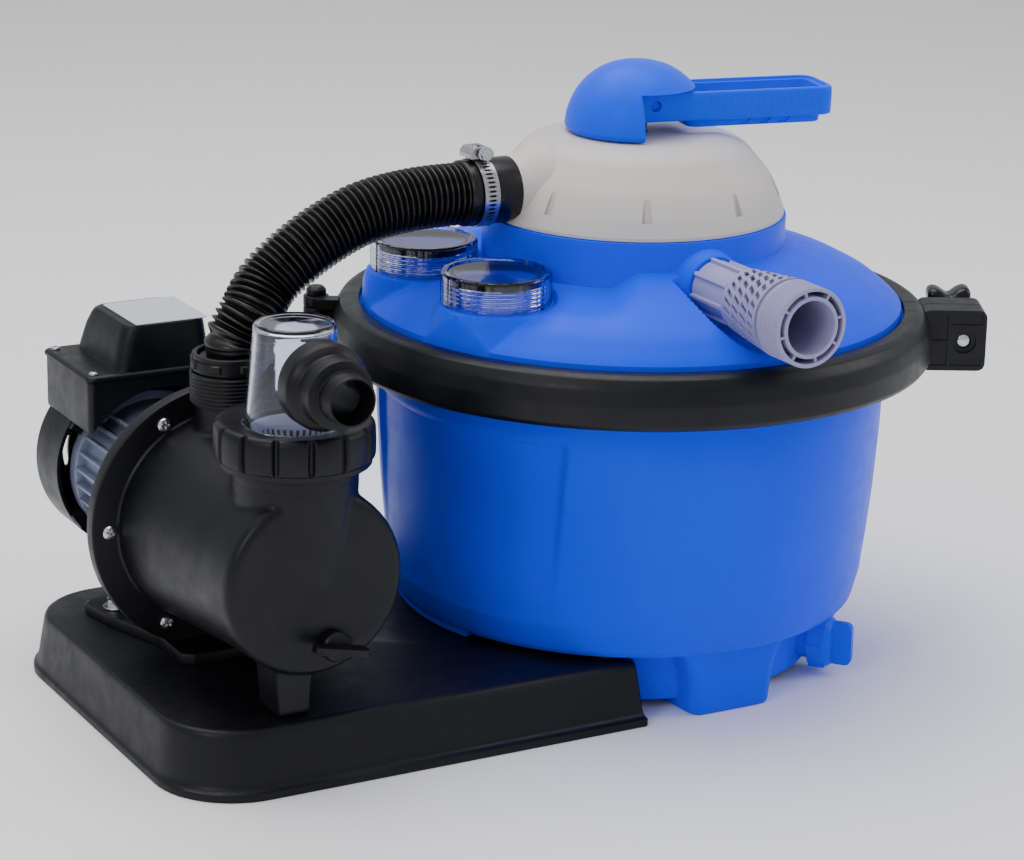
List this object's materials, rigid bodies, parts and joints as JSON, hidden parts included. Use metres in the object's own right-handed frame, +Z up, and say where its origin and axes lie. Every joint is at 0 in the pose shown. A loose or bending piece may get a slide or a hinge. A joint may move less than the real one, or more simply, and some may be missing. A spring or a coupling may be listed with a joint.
{
  "type": "pool sand filter with pump",
  "caption": "Small pool sand filter: blue tank under a clamped lid and grey multiport valve, a self-priming pump on a black tray, joined by a corrugated hose.",
  "frame": {"origin": "middle of the whole unit's footprint, on the floor", "axes": "+X from the pump towards the tank, +Y from the outlet side to the motor's rear, +Z up"},
  "size_m": [0.73, 0.4876, 0.4683],
  "materials": {
    "tray_plastic": "moulded, fine satin texture",
    "tank_blue": "glossy moulded blue",
    "dome_grey": "smooth warm light grey moulding",
    "adaptor_grey": "satin lavender grey moulding",
    "black_plastic": "satin glass-filled plastic",
    "hose_black": "corrugated, satin",
    "clear_plastic": "clear, polished",
    "rubber_seal": "matt",
    "basket_white": "plain moulded",
    "seat_grey": "plain moulded",
    "zinc_steel": "zinc plated",
    "motor_alloy": "silver-blue paint over die-cast fins",
    "stator_wound": "laminated steel with varnished windings",
    "plate_grey": "printed label stock, plain"
  },
  "bodies": {
    "unit": {"base_tray": "tray_plastic", "tank_shell": "tank_blue", "tank_lid": "tank_blue", "lid_seal": "rubber_seal", "clamp_ring_front": "black_plastic", "clamp_hinge_pin": "black_plastic", "valve_dome": "dome_grey", "valve_seat": "seat_grey", "outlet_adaptor": "adaptor_grey", "hose": "hose_black", "hose_clamp_band": "zinc_steel", "hose_clamp_housing": "zinc_steel", "pump_casing": "black_plastic", "port_collar": "black_plastic", "strainer_basket": "basket_white", "strainer_seal": "rubber_seal", "motor_bracket": "black_plastic", "foot_bolt_1": "zinc_steel", "foot_bolt_2": "zinc_steel", "motor_frame": "motor_alloy", "stator_core": "stator_wound", "front_bearing": "zinc_steel", "rear_bearing": "zinc_steel", "fan_cover": "black_plastic", "terminal_box": "black_plastic", "terminal_lid": "black_plastic", "rating_plate": "plate_grey", "cable_gland": "black_plastic", "flange_screw_1": "zinc_steel", "flange_screw_2": "zinc_steel", "flange_screw_3": "zinc_steel", "flange_screw_4": "zinc_steel", "flange_screw_5": "zinc_steel", "flange_screw_6": "zinc_steel", "box_screw_1": "zinc_steel", "box_screw_2": "zinc_steel", "box_screw_3": "zinc_steel", "box_screw_4": "zinc_steel"},
    "handle": {"valve_handle_dome": "tank_blue", "lever_pin": "zinc_steel"},
    "lever": {"valve_lever": "tank_blue"},
    "rotor": {"valve_rotor": "dome_grey", "valve_spring": "zinc_steel"},
    "clamp_rear": {"clamp_ring_rear": "black_plastic"},
    "clamp_spacer": {"clamp_sleeve": "black_plastic"},
    "clamp_screw": {"clamp_knob": "black_plastic"},
    "gasket_front": {"sight_gasket_front": "rubber_seal"},
    "cap_front": {"sight_cap_front": "clear_plastic"},
    "gasket_rear": {"sight_gasket_rear": "rubber_seal"},
    "cap_rear": {"sight_cap_rear": "clear_plastic"},
    "strainer_top": {"strainer_lid": "clear_plastic", "suction_elbow": "black_plastic"},
    "strainer_ring": {"strainer_nut": "black_plastic"},
    "motor_rotor": {"motor_shaft": "zinc_steel", "rotor_core": "motor_alloy", "impeller": "black_plastic", "cooling_fan": "black_plastic"},
    "drain_plug": {"pump_drain_plug": "black_plastic"},
    "drain_cap": {"tank_drain_cap": "tank_blue"},
    "band_screw": {"hose_clamp_screw": "zinc_steel"}
  },
  "joints": [
    {"name": "valve_turn", "type": "hinge", "parent": "unit", "child": "handle", "pos_m": [0.08002, 0.01175, 0.43], "axis": [0, 0, 1], "continuous": true},
    {"name": "lever_press", "type": "hinge", "parent": "handle", "child": "lever", "pos_m": [0.08592, 0.0106, 0.437], "axis": [0.1908, 0.9816, 0], "range_deg": [0, 1.8], "stiffness_Nm_per_rad": 20, "springref_deg": -5.73},
    {"name": "rotor_lift", "type": "slide", "parent": "handle", "child": "rotor", "axis": [0, 0, 1], "range_m": [0, 0.00056], "deforming": ["valve_spring"]},
    {"name": "clamp_rear_swing", "type": "hinge", "parent": "unit", "child": "clamp_rear", "pos_m": [-0.13497, 0.12607, 0.265], "axis": [0, 0, 1], "range_deg": [0, 60]},
    {"name": "clamp_spacer_slide", "type": "slide", "parent": "clamp_rear", "child": "clamp_spacer", "axis": [0.4695, 0.8829, 0], "range_m": [0, 0.009]},
    {"name": "clamp_screw_turn", "type": "hinge", "parent": "clamp_spacer", "child": "clamp_screw", "pos_m": [0.30694, -0.1089, 0.256], "axis": [0.4695, 0.8829, 0], "range_deg": [0, 2160]},
    {"name": "sight_front_lift", "type": "slide", "parent": "unit", "child": "gasket_front", "axis": [0, 0, 1], "range_m": [0, 0.02]},
    {"name": "sight_front_turn", "type": "hinge", "parent": "gasket_front", "child": "cap_front", "pos_m": [-0.07097, -0.04625, 0.321], "axis": [0, 0, 1], "range_deg": [0, 1800]},
    {"name": "sight_rear_lift", "type": "slide", "parent": "unit", "child": "gasket_rear", "axis": [0, 0, 1], "range_m": [0, 0.02]},
    {"name": "sight_rear_turn", "type": "hinge", "parent": "gasket_rear", "child": "cap_rear", "pos_m": [-0.07097, 0.06975, 0.321], "axis": [0, 0, 1], "range_deg": [0, 1800]},
    {"name": "strainer_lid_lift", "type": "slide", "parent": "unit", "child": "strainer_top", "axis": [0, 0, 1], "range_m": [0, 0.012]},
    {"name": "strainer_ring_turn", "type": "hinge", "parent": "strainer_top", "child": "strainer_ring", "pos_m": [-0.26227, -0.10725, 0.245], "axis": [0, 0, 1], "range_deg": [0, 1080]},
    {"name": "motor_spin", "type": "hinge", "parent": "unit", "child": "motor_rotor", "pos_m": [-0.26227, 0.10175, 0.1503], "axis": [0, 1, 0], "continuous": true},
    {"name": "drain_plug_turn", "type": "hinge", "parent": "unit", "child": "drain_plug", "pos_m": [-0.25028, -0.14425, 0.1043], "axis": [0, -1, 0], "range_deg": [0, 90]},
    {"name": "drain_cap_turn", "type": "hinge", "parent": "unit", "child": "drain_cap", "pos_m": [0.18737, -0.11618, 0.025], "axis": [0.6428, -0.766, 0], "range_deg": [0, 90]},
    {"name": "band_screw_turn", "type": "hinge", "parent": "unit", "child": "band_screw", "pos_m": [-0.05717, 0.01175, 0.4094], "axis": [0, 1, 0], "continuous": true}
  ],
  "couplings": [
    {"joint": "rotor_lift", "follows": "lever_press", "m_per_rad": 0.0172},
    {"joint": "clamp_spacer_slide", "follows": "clamp_screw_turn", "m_per_rad": 0.00023873},
    {"joint": "sight_front_lift", "follows": "sight_front_turn", "m_per_rad": 0.00063662},
    {"joint": "sight_rear_lift", "follows": "sight_rear_turn", "m_per_rad": 0.00063662},
    {"joint": "strainer_lid_lift", "follows": "strainer_ring_turn", "m_per_rad": 0.00063662}
  ]
}
